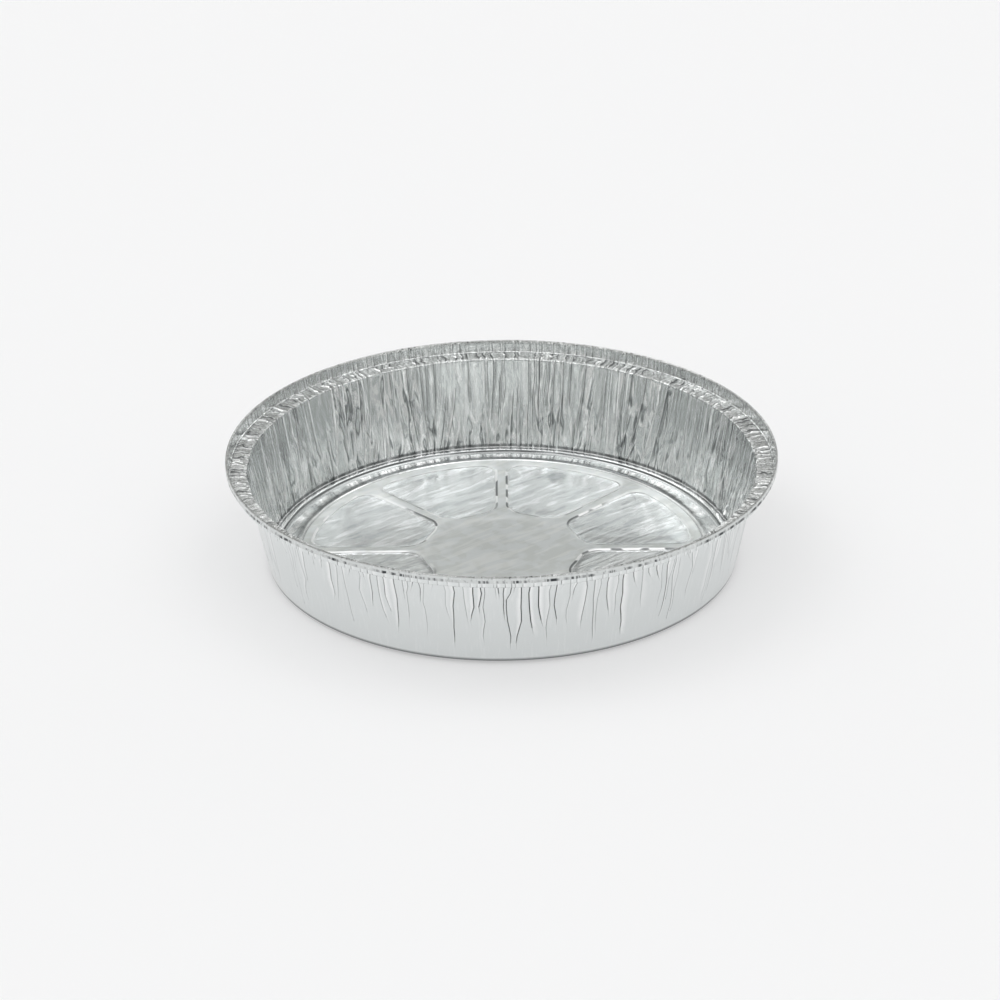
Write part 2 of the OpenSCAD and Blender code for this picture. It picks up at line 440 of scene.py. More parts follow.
# %% Floor, base ring and ledge
food_floor = ([(r, 120) for r in steps_between(4 * MM, 18 * MM, 3.5 * MM)]
              + [(r, 240) for r in steps_between(18 * MM, 44 * MM, 2.0 * MM)]
              + [(r, 480) for r in steps_between(44 * MM, floor_r - 0.6 * MM, 1.9 * MM)])
under_floor = ([(r, 120) for r in steps_between(4 * MM, 18 * MM, 3.5 * MM)]
               + [(r, 200) for r in steps_between(18 * MM, 44 * MM, 2.6 * MM)]
               + [(r, 280) for r in steps_between(44 * MM, floor_r - 0.6 * MM, 2.4 * MM)])
for r, count in food_floor:
    lay_ring(r, floor_z(r, even_angles(count)), even_angles(count))

foot_count = 480
foot_rng = np.random.default_rng(5)
# Broken dashes, for painted reflections of the ridged wall on the slopes
dashes = smooth(blur(foot_rng.normal(0, 1, (4, foot_count)), 5), -0.25, 0.25)
# Radius, height, painted shade and painted highlight of each ring, from the edge of the floor to the ledge
foot_profile = [
    (floor_r - 0.45 * MM, floor_rise, 0.0, 0.0),
    (floor_r, floor_rise - 0.30 * MM, 0.35, 0.0),
    (floor_r + 0.45 * MM, floor_rise - 0.12 * MM, 0.0, 0.6 * dashes[0]),
    (floor_r + 0.9 * MM, floor_rise + 0.06 * MM, 0.0, 0.3 + 0.6 * dashes[0]),
    (floor_r + 1.5 * MM, floor_rise - 0.02 * MM, 0.3, 0.0),
    (floor_r + 0.5 * floor_slope_w, 0.6 * floor_rise, 0.5, 0.0),
    (ring_in_r - 0.6 * MM, 0.22 * floor_rise, 0.15, 0.0),
    (ring_in_r + 0.7 * MM, foil_t, 0.0, dashes[1]),
    (ring_out_r - 1.9 * MM, foil_t, 0.0, dashes[1]),
    (ring_out_r - 1.0 * MM, 0.17 * MM, 0.2, 0.0),
    (ring_out_r - 0.55 * MM, 0.3 * MM, 0.3, 0.0),
    (ring_out_r - 0.15 * MM, 0.55 * MM, 0.2, 0.0),
    (ring_out_r + 0.1 * MM, 0.87 * MM, 0.75, 0.0),
    (ring_out_r + 0.3 * MM, 1.27 * MM, 0.7 + 0.2 * dashes[2], 0.0),
    (ring_out_r + 0.5 * MM, 1.43 * MM, 0.1, 0.0),
    (ring_out_r + 0.8 * MM, ledge_h, 0.0, 1.0),
    (ring_out_r + 1.2 * MM, ledge_h + 0.02 * MM, 0.0, 0.8),
]
for r, z, dark, bright in foot_profile:
    lay_ring(r, z, even_angles(foot_count), painted_shade=dark, painted_highlight=bright, folded=0.3)

# A painted shade line runs along the foot of the wall, broken where a ridge comes down to the ledge, with
# painted highlights beside it
reaches_foot = on_column(tall * (reach > 0.8) * ~is_leaf, crest_column)
foot_shade_line = np.clip(0.85 + 0.4 * blur(rim_noise[1], 3) - 1.6 * reaches_foot, 0, 1)
foot_angle = ridge_angles(0.0)
lay_ring(ledge_in_r + 0.4 * ledge_w, ledge_h, foot_angle, folded=0.3, painted_highlight=0.5)
lay_ring(ledge_in_r + 0.66 * ledge_w, ledge_h + 0.1 * MM * reaches_foot, foot_angle,
         folded=0.3, painted_shade=0.35 + 0.35 * foot_shade_line)
lay_ring(ledge_in_r + 0.84 * ledge_w, ledge_h + 0.2 * MM * reaches_foot, foot_angle,
         folded=0.5, painted_highlight=0.9)
print("rings from the hub to the foot of the wall:", len(rings))

# %% [markdown]
# The wall's rings carry the ridges. Where the wall bends over into the flange, the foil is folded
# twice, once round the bend and once by the ridges, so the bend breaks up into a row of small beads,
# each with a painted highlight. The ridges run on over the flange as low wrinkles, with painted
# highlights on their crests and painted shade in their folds, and die away in the lip and the hem.

# %% Food side of the wall
wall_heights = [0.0, 0.012, 0.028, 0.046, 0.1, 0.15, 0.2, 0.25, 0.3, 0.35, 0.4, 0.46, 0.52, 0.58, 0.64, 0.7,
                0.76, 0.82, 0.88, 0.94, 0.975]
lean_in, lean_up = math.cos(wall_lean), math.sin(wall_lean)
# A few folds end on the ledge in a small notch of painted shade
notch_share = 0.22
notch_shade = on_column((ridge_rng.uniform(0, 1, ridge_count) < notch_share) * 1.0, fold_column)
for height in wall_heights:
    r, z = wall_point(height)
    out = ridge_heights(height)
    dark = np.maximum(painted_fold_shade(height), notch_shade * (height < 0.08))
    light = painted_crest_highlight(height)
    # The lowest ring gets a painted highlight, and the next ones the painted shade line along the foot
    if height < 0.01:
        dark, light = 0 * dark, 0.9
    elif height < 0.04:
        dark, light = np.maximum(dark, 0.85 * foot_shade_line), light * (1 - foot_shade_line)
    lay_ring(r - lean_in * out, z + lean_up * out, ridge_angles(height),
             folded=1.0, painted_shade=dark, painted_highlight=light)
print("rings up to the top of the wall:", len(rings))

# %% The beaded bend and the flange
top_angle = ridge_angles(1.0)
top_fold_shade = painted_fold_shade(1.0)
top_crests = on_column(tall, crest_column)
jitter_w = 0.09 * MM
# Painted highlights on the beads and crests of the bend, and painted shade in its folds
bead_highlight = on_column(0.5 + 0.5 * rim_noise[0][:ridge_count], middle_column)
for r, z, out, light, row in ((wall_top_r - 0.04 * MM, wall_top_z - 0.35 * MM, 0.35, 0.5, 3),
                              (wall_top_r + 0.18 * MM, wall_top_z - 0.08 * MM, 0.2, 1.0, 4),
                              (wall_top_r + 0.6 * MM, wall_top_z + 0.02 * MM, 0.0, 0.4, 2)):
    jitter = jitter_w * rim_noise[row]
    lay_ring(r - 0.22 * MM - out * ridge_h * top_crests - jitter, z + jitter, top_angle, folded=1.0, hem=0.4,
             painted_shade=top_fold_shade, painted_highlight=light * (0.4 * top_crests + bead_highlight))

wrinkle_size = ridge_rng.uniform(0.5, 1.0, (4, ridge_count)) * np.where(is_pleat, 1.0, 0.35)
wrinkle_bend = 1.3 * MM / rim_r * blur(ridge_rng.normal(0, 1, (4, ridge_count)), 1)
# The flange's wrinkles get painted highlights on their crests and painted shade in their folds
for share, row in ((0.22, 0), (0.44, 1), (0.66, 2), (0.88, 3)):
    size = wrinkle_size[row]
    wrinkle = (on_column(0.5 * MM * size, crest_column) - on_column(0.14 * MM * size, fold_column)
               + rim_noise[row] * jitter_w)
    bend = np.repeat(wrinkle_bend[row], 5) * math.sin(math.pi * share)
    lay_ring(wall_top_r + share * flange_w, wall_top_z + share * flange_fall + wrinkle, top_angle + bend,
             folded=1.0, hem=0.8,
             painted_highlight=on_column(0.8 * size, crest_column) + on_column(0.3 * size, middle_column),
             painted_shade=on_column(np.clip(1.25 * size, 0, 0.95), fold_column)
             + on_column(0.6 * size, outer_column))
print("rings up to the edge of the flange:", len(rings))

# %% Lip
# It stands in a sharp corner, and its foot gets painted shade in places
lip_foot_shade = np.clip(0.2 + 1.1 * blur(rim_noise[4], 2), 0, 0.8)
lay_ring(lip_foot_r - 0.25 * MM, flange_z, top_angle, folded=1.0, hem=0.5, painted_shade=lip_foot_shade)
# Up the lip, painted shade in the folds and painted highlights on the crests and flats
for share, row in ((0.06, 4), (0.36, 5), (0.7, 0)):
    size = 0.3 + 0.7 * tall
    pinch = on_column(0.16 * MM * size, crest_column) + 0.05 * MM * (1 + rim_noise[row])
    lay_ring(lip_foot_r + share * lip_flare - pinch, flange_z + share * (lip_h - edge_r) + 0.02 * MM,
             top_angle, folded=0.9, hem=0.35, painted_shade=on_column(0.5 * size * (1 - 0.6 * share), fold_column),
             painted_highlight=on_column(0.9 * size, crest_column) + on_column(0.6 * size, middle_column))
print("rings up to the top of the lip:", len(rings))

# %% [markdown]
# The hem is the raw edge of the disc, rolled out and down over the lip. It is only about 3 mm high and
# is pressed flat, so it shows as a beaded band with a wavy lower edge. Behind the raw edge the lip is in
# shadow, and that shows as a broken dark line under the band.

# %% Hem
for turn, row in ((165, 1), (105, 2), (55, 3), (5, 4)):
    a = math.radians(turn)
    dent = 0.05 * MM * (1 + blur(rim_noise[row], 1))
    lay_ring(rim_r - edge_r + (edge_r - dent) * math.cos(a), pan_h - edge_r + (edge_r - dent) * math.sin(a),
             top_angle, folded=0.6, hem=1.0)
press = 0.1 * MM * (1 + rim_noise[0])
edge_wave = 0.2 * MM * (1 + blur(rim_noise[2], 1)) / 2 + 0.2 * MM * top_crests
# Small pits stand in a row along the hem, where the folds of the flange are pressed shut, and each gets
# painted shade
shaded_pits = np.clip(4.0 * rim_noise[5] + 0.3, 0, 1) * np.clip(0.8 + 3.0 * blur(rim_noise[3], 12), 0, 1)
lay_ring(rim_r - 0.5 * press, pan_h - 0.3 * hem_h, top_angle, folded=0.6, hem=0.35)
lay_ring(rim_r - 0.2 * press, pan_h - 0.52 * hem_h, top_angle, folded=0.6, hem=0.35)
for share in (0.64, 0.8):
    lay_ring(rim_r - 1.4 * press * shaded_pits - 0.05 * MM, pan_h - share * hem_h, top_angle, folded=0.6, hem=0.4,
             painted_shade=shaded_pits)
lay_ring(rim_r - press, pan_h - hem_h + edge_wave, top_angle, folded=0.6, hem=0.4, painted_shade=shaded_pits)

broken = np.clip(0.3 + 2.2 * blur(foot_rng.normal(0, 1, foot_count), 1), 0, 1)
round_lip = even_angles(foot_count)
lay_ring(rim_r - press - foil_t, pan_h - hem_h + edge_wave, top_angle, painted_shade=0.8)
lay_ring(rim_r - 2.2 * foil_t, pan_h - 1.6 * edge_r, round_lip, painted_shade=0.8)
lay_ring(lip_top_r + foil_t * 1.2, pan_h - 1.6 * edge_r, round_lip, painted_shade=0.8)
for fall, flare in ((-0.3, 0.55), (0.2, 0.4)):
    lay_ring(lip_foot_r + foil_t + flare * lip_flare, pan_h - hem_h - fall * MM, round_lip,
             painted_shade=broken, hem=0.3)
print("rings up to the shadow behind the hem:", len(rings))

# %% [markdown]
# The walk now turns back along the underside: under the flange, down the creased outside of the wall and
# in over the floor, one thickness of foil below the food side.

# %% Outside and underside
top_crease = crease_angles(1.0)
top_deep = crease_share(1.0)
outside_heights = [0.975, 0.92, 0.84, 0.76, 0.67, 0.58, 0.49, 0.4, 0.31, 0.22, 0.13, 0.036, 0.0]
# Under the flange the grooves get painted shade, and one edge of each a painted highlight
for out, z in ((0.3 * lip_flare, pan_h - hem_h - 0.5 * MM), (0.0, flange_z + 0.3 * MM)):
    lay_ring(lip_foot_r + foil_t + out - on_grooves(0.25 * MM * top_deep, 0, 0), z, top_crease, folded=0.4,
             painted_shade=on_grooves(top_deep, 0, 0 * top_deep), painted_highlight=on_grooves(0, 0.6 * top_deep, 0 * top_deep))
lay_ring(lip_foot_r - 0.4 * MM, flange_z - foil_t, top_crease)
lay_ring(wall_top_r + wall_gap + 0.3 * MM, wall_top_z - foil_t - 0.2 * MM, top_crease)
# Down the wall the grooves get painted shade, and one edge of each a painted highlight
for height in outside_heights:
    r, z = wall_point(height)
    deep = crease_share(height)
    press_in = crease_heights(height) - wall_gap * (0.5 + 0.5 * smooth(height, 0.0, 0.1))
    # The last ring is dark, where the wall's foot stands over its own shadow
    lay_ring(r - lean_in * press_in, z + lean_up * press_in, crease_angles(height), folded=0.4,
             painted_shade=on_grooves(deep, 0, 0 * deep) + 0.95 * (height < 0.01),
             painted_highlight=on_grooves(0, deep * (crease_side > 0), deep * (crease_side < 0)))
# The underside of the ledge and the outer part of the base ring get painted shade
lay_ring(ledge_in_r + 0.6 * ledge_w, ledge_h - foil_t, round_lip, painted_shade=0.9)
for r, z, dark, bright in foot_profile[-2::-2]:
    lay_ring(r, z - foil_t, even_angles(300), painted_shade=0.9 * (r > ring_out_r))
for r, count in reversed(under_floor):
    lay_ring(r, floor_z(r, even_angles(count)) - foil_t, even_angles(count))
print("rings:", len(rings), "points:", sum(len(ring["angle"]) for ring in rings))

# %% [markdown]
# Two rings with the same number of points are joined by quads. Otherwise the walk goes round both
# rings at once and always steps along the one whose next point comes first, which gives one
# triangle a step.

# %% Faces between the rings
def same_faces(a, b, n):
    """Quads between two rings with the same number of points."""
    j = np.arange(n)
    k = (j + 1) % n
    return np.stack([a + j, b + j, b + k, a + k], axis=1).tolist()


def walked_faces(a, angle_a, b, angle_b):
    """Triangles between two rings with different numbers of points."""
    n, m = len(angle_a), len(angle_b)
    first_b = int(np.argmin(np.abs((angle_b - angle_a[0] + math.pi) % (2 * math.pi) - math.pi)))
    turned = np.unwrap(np.roll(angle_b, -first_b))
    turned += 2 * math.pi * np.round((angle_a[0] - turned[0]) / (2 * math.pi))
    ends_a = np.append(angle_a, angle_a[0] + 2 * math.pi)
    ends_b = np.append(turned, turned[0] + 2 * math.pi)
    faces, i, j = [], 0, 0
    while i < n or j < m:
        here_a, here_b = a + i % n, b + (j + first_b) % m
        if j == m or (i < n and ends_a[i + 1] <= ends_b[j + 1]):
            faces.append([here_a, here_b, a + (i + 1) % n])
            i += 1
        else:
            faces.append([here_a, here_b, b + (j + 1 + first_b) % m])
            j += 1
    return faces


print("pairs of rings to join:", len(rings) - 1)

# %% Mesh of the pan
starts = np.cumsum([0] + [len(ring["angle"]) for ring in rings]).tolist()
faces = []
for i in range(len(rings) - 1):
    one, two = rings[i]["angle"], rings[i + 1]["angle"]
    if len(one) == len(two):
        faces += same_faces(starts[i], starts[i + 1], len(one))
    else:
        faces += walked_faces(starts[i], one, starts[i + 1], two)
food_pole, under_pole = starts[-1], starts[-1] + 1
hub_z = floor_rise - hub_sink
n = len(rings[0]["angle"])
faces += [[food_pole, j, (j + 1) % n] for j in range(n)]
faces += [[under_pole, starts[-2] + (j + 1) % n, starts[-2] + j] for j in range(n)]
verts = np.concatenate([ring["xyz"] for ring in rings] + [[[0, 0, hub_z], [0, 0, hub_z - foil_t]]])

mesh = bpy.data.meshes.new("foil_pan")
mesh.from_pydata(verts.tolist(), [], faces)
mesh.validate()
for name in mask_names:
    values = np.concatenate([ring[name] for ring in rings] + [[0.0, 0.0]])
    layer = mesh.attributes.new(name, "FLOAT", "POINT")
    layer.data.foreach_set("value", values.astype(np.float32))
mesh.shade_smooth()
mesh.set_sharp_from_angle(angle=math.radians(18))
pan = bpy.data.objects.new("foil_pan", mesh)
bpy.context.scene.collection.objects.link(pan)
triangles = sum(len(p.vertices) - 2 for p in mesh.polygons)
print("triangles:", triangles)

# %% [markdown]
# The finish is bare aluminium foil: a metal with a colour near 0.8 grey and a low roughness. A
# single smooth metal would look like chrome. Rolled foil has a fine grain, and pressed foil is
# crumpled in places too small for the mesh. Each part of the tin is crumpled in its own way, so one
# material is used, with masks that say where a point is. A material of its own for each part would
# leave a hard line where two of them meet.

# %% The material, and helpers for its nodes
foil = bpy.data.materials.new("foil")
foil.use_nodes = True
tree = foil.node_tree
nodes, links = tree.nodes, tree.links
shader = nodes["Principled BSDF"]
shader.inputs["Metallic"].default_value = 1.0


def feed(socket, value):
    """Gives an input a number, or links it to an output."""
    if isinstance(value, (int, float)):
        socket.default_value = value
    else:
        links.new(value, socket)


def math_node(operation, a, b=0.0, clamp=False):
    """A Math node of two inputs. Returns its output."""
    node = nodes.new("ShaderNodeMath")
    node.operation = operation
    node.use_clamp = clamp
    feed(node.inputs[0], a)
    feed(node.inputs[1], b)
    return node.outputs["Value"]


def times(a, b):
    return math_node("MULTIPLY", a, b)


def plus(a, b):
    return math_node("ADD", a, b)


def without(mask):
    """The part of the surface that a mask leaves over."""
    return math_node("SUBTRACT", 1.0, mask, True)


def soft_step(value, low, high):
    """0 below low, 1 above high, and a soft S between them."""
    node = nodes.new("ShaderNodeMapRange")
    node.interpolation_type = "SMOOTHSTEP"
    feed(node.inputs["Value"], value)
    node.inputs["From Min"].default_value = low
    node.inputs["From Max"].default_value = high
    return node.outputs["Result"]


def attribute(name):
    node = nodes.new("ShaderNodeAttribute")
    node.attribute_name = name
    return node.outputs["Fac"]


def vector_node(operation, a, b=None):
    """A Vector Math node. The second input is a vector, or an output to link."""
    node = nodes.new("ShaderNodeVectorMath")
    node.operation = operation
    links.new(a, node.inputs[0])
    if isinstance(b, tuple):
        node.inputs[1].default_value = b
    elif b is not None:
        links.new(b, node.inputs[1])
    return node.outputs["Vector"]


def noise(vector, scale, detail, roughness=0.5, distortion=0.0):
    node = nodes.new("ShaderNodeTexNoise")
    node.inputs["Scale"].default_value = scale
    node.inputs["Detail"].default_value = detail
    node.inputs["Roughness"].default_value = roughness
    node.inputs["Distortion"].default_value = distortion
    links.new(vector, node.inputs["Vector"])
    return node.outputs["Fac"]


def tint(under, colour, mask):
    """Lays a colour over another by a mask. Returns the mixed colour."""
    node = nodes.new("ShaderNodeMixRGB")
    if isinstance(under, tuple):
        node.inputs["Color1"].default_value = (*under, 1.0)
    else:
        links.new(under, node.inputs["Color1"])
    node.inputs["Color2"].default_value = (*colour, 1.0)
    feed(node.inputs["Fac"], mask)
    return node.outputs["Color"]


def band(value, low, low_full, high_full, high):
    """1 between low_full and high_full, 0 below low and above high."""
    return times(soft_step(value, low, low_full), without(soft_step(value, high_full, high)))


def larger(a, b, clamp=False):
    return math_node("MAXIMUM", a, b, clamp)


print("material:", foil.name)

# %% [markdown]
# The panels, the ribs and the painted highlight and shade lines along the panels' edges are found
# from a point's place, by the same sums as the heights of the floor. A mask painted on the mesh would
# be as coarse as its points.

# %% Masks of the floor
position = nodes.new("ShaderNodeTexCoord").outputs["Object"]
split = nodes.new("ShaderNodeSeparateXYZ")
links.new(position, split.inputs["Vector"])
x, y = split.outputs["X"], split.outputs["Y"]
from_axis = math_node("SQRT", plus(times(x, x), times(y, y)))
off_spoke = math_node("PINGPONG", math_node("ARCTAN2", y, x), math.pi / spoke_count)
beside = plus(times(from_axis, math_node("SINE", off_spoke)), -spoke_w / 2)
between = math_node("MINIMUM", plus(from_axis, -panel_in_r), math_node("SUBTRACT", panel_out_r, from_axis))
corner_x = larger(math_node("SUBTRACT", panel_corner_r, beside), 0.0)
corner_y = larger(math_node("SUBTRACT", panel_corner_r, between), 0.0)
corner = math_node("SQRT", plus(times(corner_x, corner_x), times(corner_y, corner_y)))
inside = math_node("SUBTRACT", panel_corner_r, corner)
on_floor = without(soft_step(from_axis, floor_r - 0.2 * MM, floor_r + 0.2 * MM))
panel = soft_step(inside, 0.4 * rib_slope_w, 0.8 * rib_slope_w)
rib = times(on_floor, without(panel))
panel_edge = band(inside, 0.1 * MM, 0.35 * MM, 1.0 * MM, 1.35 * MM)
dash = soft_step(noise(position, 120.0, 0.0), 0.45, 0.52)
some_edges = soft_step(noise(position, 26.0, 0.0), 0.4, 0.54)
print("nodes so far:", len(nodes))

# %% [markdown]
# The patterns are noises of several sizes, stretched the way the foil was drawn. On the floor they run
# slanted, as the rolling marks of the sheet do. On the wall they run upright: there the noise is taken
# from a point's direction and height, so that it has no seam and doesn't slant.

# %% Patterns
direction = vector_node("NORMALIZE", vector_node("MULTIPLY", position, (1.0, 1.0, 0.0)))
wall_place = vector_node("ADD", vector_node("MULTIPLY", direction, (0.1, 0.1, 0.0)),
                         vector_node("MULTIPLY", position, (0.0, 0.0, 0.16)))
slant = nodes.new("ShaderNodeVectorRotate")
slant.rotation_type = "Z_AXIS"
slant.inputs["Angle"].default_value = math.radians(52)
links.new(position, slant.inputs["Vector"])
streak = noise(vector_node("MULTIPLY", slant.outputs["Vector"], (1.0, 0.16, 1.0)), 260.0, 2.0, 0.6)
hairline = noise(vector_node("MULTIPLY", slant.outputs["Vector"], (1.0, 0.07, 1.0)), 1100.0, 1.0)
crinkle = noise(wall_place, 900.0, 2.0)
crinkle_wide = noise(wall_place, 260.0, 1.0)
dent = noise(position, 130.0, 2.0, 0.5, 0.4)
grain = noise(position, 2200.0, 1.0)
crumple = noise(position, 620.0, 3.0, 0.6, 0.5)
vein = noise(vector_node("MULTIPLY", wall_place, (1.0, 1.0, 1.4)), 280.0, 1.5, 0.5, 0.7)
vein_place = noise(wall_place, 90.0, 1.0)
fleck = noise(position, 950.0, 1.0)
print("nodes with the patterns:", len(nodes))

# %% [markdown]
# All the fine relief goes into one Bump node, as heights that each belong to one mask: crinkles and
# veins on the wall, streaks and dents in the panels, softer dents on the ribs, crumples on the rim. The
# rim's small facets give it the glitter of many tiny mirrors.

# %% Bump
bump_d = 0.12 * MM
# Masks of painted shade and painted highlights, of the pressed wall and of the rim
folded, painted_shade, painted_highlight, hem = (attribute(name) for name in ("folded", "painted_shade", "painted_highlight", "hem"))
inner_wall = soft_step(folded, 0.5, 0.8)
wall_height = plus(times(plus(times(crinkle, 0.9), crinkle_wide), folded),
                   times(vein, times(inner_wall, 5.0)))
panel_height = times(plus(plus(times(streak, 2.2), times(dent, 1.6)), times(hairline, 0.4)), panel)
rib_height = times(plus(plus(dent, times(streak, 0.7)), times(plus(grain, hairline), 0.3)), times(rib, 0.5))
hem_height = times(crumple, times(hem, 2.6))
height = plus(plus(plus(wall_height, panel_height), plus(rib_height, hem_height)), times(grain, 0.03))
bump = nodes.new("ShaderNodeBump")
bump.inputs["Distance"].default_value = bump_d
bump.inputs["Strength"].default_value = 1.0
links.new(height, bump.inputs["Height"])
links.new(bump.outputs["Normal"], shader.inputs["Normal"])
print("deepest fine relief in mm:", round(bump_d / MM, 2), "times the height")

# %% [markdown]
# The colour is laid on in thin coats, each shown by a mask: plain foil, the pressed wall, the rim
# darkened by painted shade of its crumples, the duller ribs, the streaks of the panels, the painted
# highlight and shade of the wall's veins, and last the painted highlights and painted shade. The
# painted shade stands for folds so narrow that no light comes back out of them, and the painted
# highlights for glints on crests and edges.

# %% Colours of the foil
plain_foil, pressed_foil, crumple_shaded_foil = (0.75, 0.775, 0.775), (0.78, 0.805, 0.8), (0.43, 0.44, 0.43)
dull_rib, bright_rib = (0.62, 0.64, 0.61), (0.9, 0.91, 0.89)
bright_streak, dull_streak, bright_crinkle = (0.96, 0.98, 0.99), (0.52, 0.55, 0.56), (0.97, 0.98, 0.98)
vein_shade_paint, vein_highlight_paint = (0.2, 0.215, 0.22), (1.0, 1.0, 1.0)
highlight_paint_colour, shade_paint_colour = (0.985, 0.99, 0.99), (0.05, 0.055, 0.06)
print("plain foil:", plain_foil)

# %% Plain and pressed foil, ribs and streaks
base = tint(plain_foil, pressed_foil, folded)
# The rim is darkened with painted shade of crumples too small for the mesh
base = tint(base, crumple_shaded_foil, times(hem, 0.8))
base = tint(base, dull_rib, times(times(soft_step(dent, 0.42, 0.6), rib), 0.5))
base = tint(base, bright_rib, times(times(soft_step(streak, 0.48, 0.62), rib), 0.4))
# The streaks and crinkles are burnished in places and dull in others
base = tint(base, bright_streak, times(times(soft_step(streak, 0.53, 0.62), panel), 0.85))
base = tint(base, dull_streak, times(times(soft_step(streak, 0.46, 0.34), panel), 0.5))
base = tint(base, bright_crinkle, times(times(soft_step(crinkle, 0.56, 0.64), folded), 0.3))
print("nodes with the first coats:", len(nodes))

# %% Veins and lines
# Low veins run up the wall as thin outlines, painted with a highlight on one side and shade on the
# other. They show in places, and everywhere near the foot
near_foot = soft_step(split.outputs["Z"], 26 * MM, 10 * MM)
shown = times(times(inner_wall, without(times(hem, 3.0))),
              larger(soft_step(vein_place, 0.42, 0.56), near_foot))
base = tint(base, vein_shade_paint, times(band(vein, 0.33, 0.37, 0.39, 0.43), times(shown, 0.75)))
base = tint(base, vein_highlight_paint, times(band(vein, 0.44, 0.47, 0.52, 0.55), shown))
# The rim gets flecks of painted glints and painted shade, as its tiny facets would show
fleck_glint_paint = times(times(soft_step(fleck, 0.34, 0.24), hem), 0.8)
fleck_shade_paint = times(times(soft_step(fleck, 0.6, 0.72), hem), 0.8)
# The panels' edges get painted highlights, and broken dashes of painted shade that stand for reflections of
# the ridged wall
edge_highlight_paint = times(times(panel_edge, without(dash)), plus(0.45, times(some_edges, 0.5)))
edge_shade_paint = times(times(times(panel_edge, dash), some_edges), 0.75)
edge_shade_paint = times(edge_shade_paint, soft_step(from_axis, panel_out_r - 4 * MM, panel_out_r - 13 * MM))
# Painted highlights, then painted shade, over all the coats
base = tint(base, highlight_paint_colour, larger(larger(painted_highlight, edge_highlight_paint), fleck_glint_paint, True))
base = tint(base, shade_paint_colour, larger(larger(painted_shade, edge_shade_paint), fleck_shade_paint, True))
links.new(base, shader.inputs["Base Color"])
rough = plus(plus(0.15, times(rib, 0.2)), times(panel, 0.05))
links.new(rough, shader.inputs["Roughness"])
mesh.materials.append(foil)
print("nodes in the foil:", len(nodes))

# %% [markdown]
# The pan is one sheet, so it is one piece. It rides on the only body, and it is shown in place of the
# CAD model's node, whose pleats are plainer.

# %% The piece and its body
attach(pan, "root")
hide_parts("pan")

# %% [markdown]
# The stage is a plain white table. Lit only by the room, a table as white as the photograph's would
# need more light than the foil can stand. So a share of its paleness is its own. Only the camera
# and the mirror images in the metal show that share, so it lights nothing, and shadows stay soft.

# %% Table
table_half, table_gap = 4.0, 0.1 * MM
own_share = 0.46
corners = [(-table_half, -table_half, 0), (table_half, -table_half, 0),
           (table_half, table_half, 0), (-table_half, table_half, 0)]
table_mesh = bpy.data.meshes.new("table")
table_mesh.from_pydata(corners, [], [(0, 1, 2, 3)])
table = bpy.data.objects.new("table", table_mesh)
table.location.z = -table_gap
bpy.context.scene.collection.objects.link(table)
white = bpy.data.materials.new("white_table")
white.use_nodes = True
nodes, links = white.node_tree.nodes, white.node_tree.links
matt = nodes["Principled BSDF"]
matt.inputs["Base Color"].default_value = (0.9, 0.9, 0.905, 1)
matt.inputs["Roughness"].default_value = 0.9
matt.inputs["Specular IOR Level"].default_value = 0.0
glow = nodes.new("ShaderNodeEmission")
glow.inputs["Color"].default_value = (0.93, 0.93, 0.935, 1)
rays = nodes.new("ShaderNodeLightPath")
seen = nodes.new("ShaderNodeMath")
seen.operation = "MAXIMUM"
shown_share = nodes.new("ShaderNodeMath")
shown_share.operation = "MULTIPLY"
shown_share.inputs[1].default_value = own_share
blend = nodes.new("ShaderNodeMixShader")
links.new(rays.outputs["Is Camera Ray"], seen.inputs[0])
links.new(rays.outputs["Is Glossy Ray"], seen.inputs[1])
links.new(seen.outputs["Value"], shown_share.inputs[0])
links.new(shown_share.outputs["Value"], blend.inputs["Fac"])
links.new(matt.outputs["BSDF"], blend.inputs[1])
links.new(glow.outputs["Emission"], blend.inputs[2])
links.new(blend.outputs["Shader"], nodes["Material Output"].inputs["Surface"])
table_mesh.materials.append(white)
print("table's own share of its paleness:", own_share)

# %% [markdown]
# Foil has almost no colour of its own: it shows the room. In an even white room it looks like
# paper, so the room is drawn on the world as a photographer's tent. It is lighter high up than near
# the horizon, with a wide bright card high on the left, low cards behind and in front, and dark gaps
# between them. Each card is a soft-edged disc in one direction, made by one node group. The lamps
# of a real studio would do the same with more noise in the picture.

# %% A node group for one soft card
card_group = bpy.data.node_groups.new("soft_card", "ShaderNodeTree")
for name, kind in (("Direction", "Vector"), ("Toward", "Vector"),
                   ("Outer", "Float"), ("Inner", "Float"), ("Level", "Float")):
    card_group.interface.new_socket(name, in_out="INPUT", socket_type="NodeSocket" + kind)
card_group.interface.new_socket("Light", in_out="OUTPUT", socket_type="NodeSocketFloat")
g_nodes, g_links = card_group.nodes, card_group.links
g_in, g_out = g_nodes.new("NodeGroupInput"), g_nodes.new("NodeGroupOutput")
dot = g_nodes.new("ShaderNodeVectorMath")
dot.operation = "DOT_PRODUCT"
edge = g_nodes.new("ShaderNodeMapRange")
edge.interpolation_type = "SMOOTHERSTEP"
g_links.new(g_in.outputs["Direction"], dot.inputs[0])
g_links.new(g_in.outputs["Toward"], dot.inputs[1])
g_links.new(dot.outputs["Value"], edge.inputs["Value"])
g_links.new(g_in.outputs["Outer"], edge.inputs["From Min"])
g_links.new(g_in.outputs["Inner"], edge.inputs["From Max"])
g_links.new(g_in.outputs["Level"], edge.inputs["To Max"])
g_links.new(edge.outputs["Result"], g_out.inputs["Light"])
print("node group:", card_group.name)

